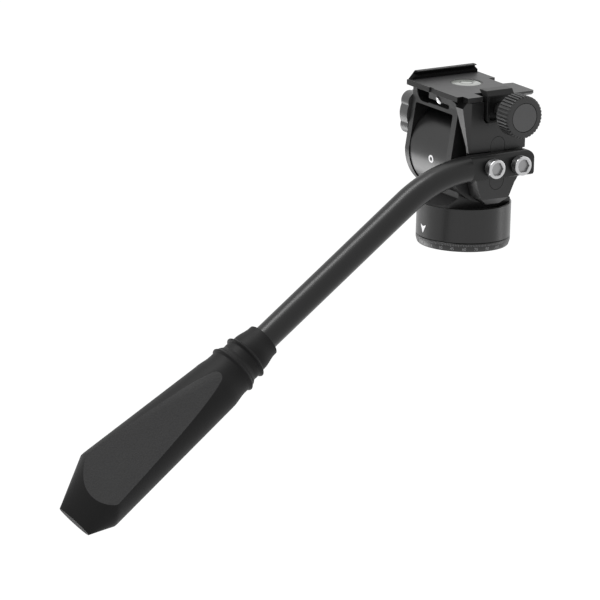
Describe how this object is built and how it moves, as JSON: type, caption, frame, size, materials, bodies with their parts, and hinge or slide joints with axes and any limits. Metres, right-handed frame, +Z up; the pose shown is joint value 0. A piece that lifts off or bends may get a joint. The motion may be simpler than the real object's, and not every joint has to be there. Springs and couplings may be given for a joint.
{
  "type": "fluid video head",
  "caption": "Two-way fluid video head: round panning base, tilting bracket with a side-clamping plate platform and bubble level, and a bent pan handle with a shaped grip.",
  "frame": {"origin": "centre of the base's underside, where the tripod screw enters", "axes": "+X is the operator's right and runs along the tilt axis towards the handle's plate, +Y is where the lens points, +Z is up along the pan axis"},
  "size_m": [0.0864, 0.2967, 0.2111],
  "materials": {
    "black_anodised": "satin black anodised",
    "black_gloss_paint": "semi-gloss black paint",
    "plain_steel": "plain",
    "polished_steel": "polished",
    "bearing_bronze": "plain",
    "soft_grip": "matte",
    "black_plastic": "fine moulded texture",
    "white_nylon": "plain",
    "level_glass": "clear over a pale green liquid"
  },
  "bodies": {
    "base": {"base_ring": "black_anodised", "thread_insert": "plain_steel", "pan_axle": "plain_steel", "base_screw_1": "plain_steel", "base_screw_2": "plain_steel", "base_screw_3": "plain_steel", "pan_thrust_washer": "white_nylon", "pan_damper_rotor": "plain_steel", "pan_rotor_nut": "plain_steel"},
    "pan": {"pan_housing": "black_anodised", "pan_retainer_ring": "plain_steel", "drum_cover": "black_anodised", "tilt_bush_left": "bearing_bronze", "tilt_bush_right": "bearing_bronze"},
    "pan_lock": {"pan_lock_knob": "black_plastic", "pan_lock_stud": "plain_steel"},
    "tilt": {"tilt_bracket": "black_anodised", "tilt_axle": "plain_steel", "tilt_axle_clip": "plain_steel", "tilt_damper_rotor": "bearing_bronze", "arm_mount_plate": "black_anodised", "arm_mount_inlay": "black_anodised", "platform": "black_anodised", "platform_screw_1": "plain_steel", "platform_screw_2": "plain_steel", "level_cup": "black_plastic", "level_vial": "level_glass", "clamp_stop_pin": "polished_steel", "jaw_spring_rear": "plain_steel", "jaw_spring_front": "plain_steel", "handle_tube": "black_gloss_paint", "handle_washer_rear": "polished_steel", "handle_washer_front": "polished_steel", "handle_bolt_rear": "polished_steel", "handle_bolt_front": "polished_steel", "handle_grip": "soft_grip"},
    "jaw": {"movable_jaw": "black_anodised", "guide_pin_rear": "plain_steel", "guide_pin_front": "plain_steel"},
    "clamp_knob": {"clamp_knob": "black_plastic", "clamp_knob_cap": "black_plastic", "clamp_screw": "plain_steel"},
    "tilt_lock": {"tilt_lock_knob": "black_plastic", "tilt_lock_stud": "plain_steel"}
  },
  "joints": [
    {"name": "pan", "type": "hinge", "parent": "base", "child": "pan", "pos_m": [0, 0, 0.0125], "axis": [0, 0, 1], "continuous": true},
    {"name": "tilt", "type": "hinge", "parent": "pan", "child": "tilt", "pos_m": [0, 0, 0.0492], "axis": [1, 0, 0], "range_deg": [-80, 60]},
    {"name": "clamp_knob_turn", "type": "hinge", "parent": "jaw", "child": "clamp_knob", "pos_m": [0.0426, -0.0005, 0.0786], "axis": [1, 0, 0], "range_deg": [-1540, 770]},
    {"name": "jaw_slide", "type": "slide", "parent": "tilt", "child": "jaw", "axis": [1, 0, 0], "range_m": [-0.003, 0.0015]},
    {"name": "tilt_lock_turn", "type": "hinge", "parent": "tilt", "child": "tilt_lock", "pos_m": [-0.0226, -0.0106, 0.0665], "axis": [-1, 0, 0], "range_deg": [0, 180]},
    {"name": "pan_lock_turn", "type": "hinge", "parent": "pan", "child": "pan_lock", "pos_m": [-0.02048, 0.01434, 0.0133], "axis": [-0.8192, 0.5736, 0], "range_deg": [0, 180]}
  ],
  "couplings": [
    {"joint": "jaw_slide", "follows": "clamp_knob_turn", "m_per_rad": 0.00011141}
  ]
}
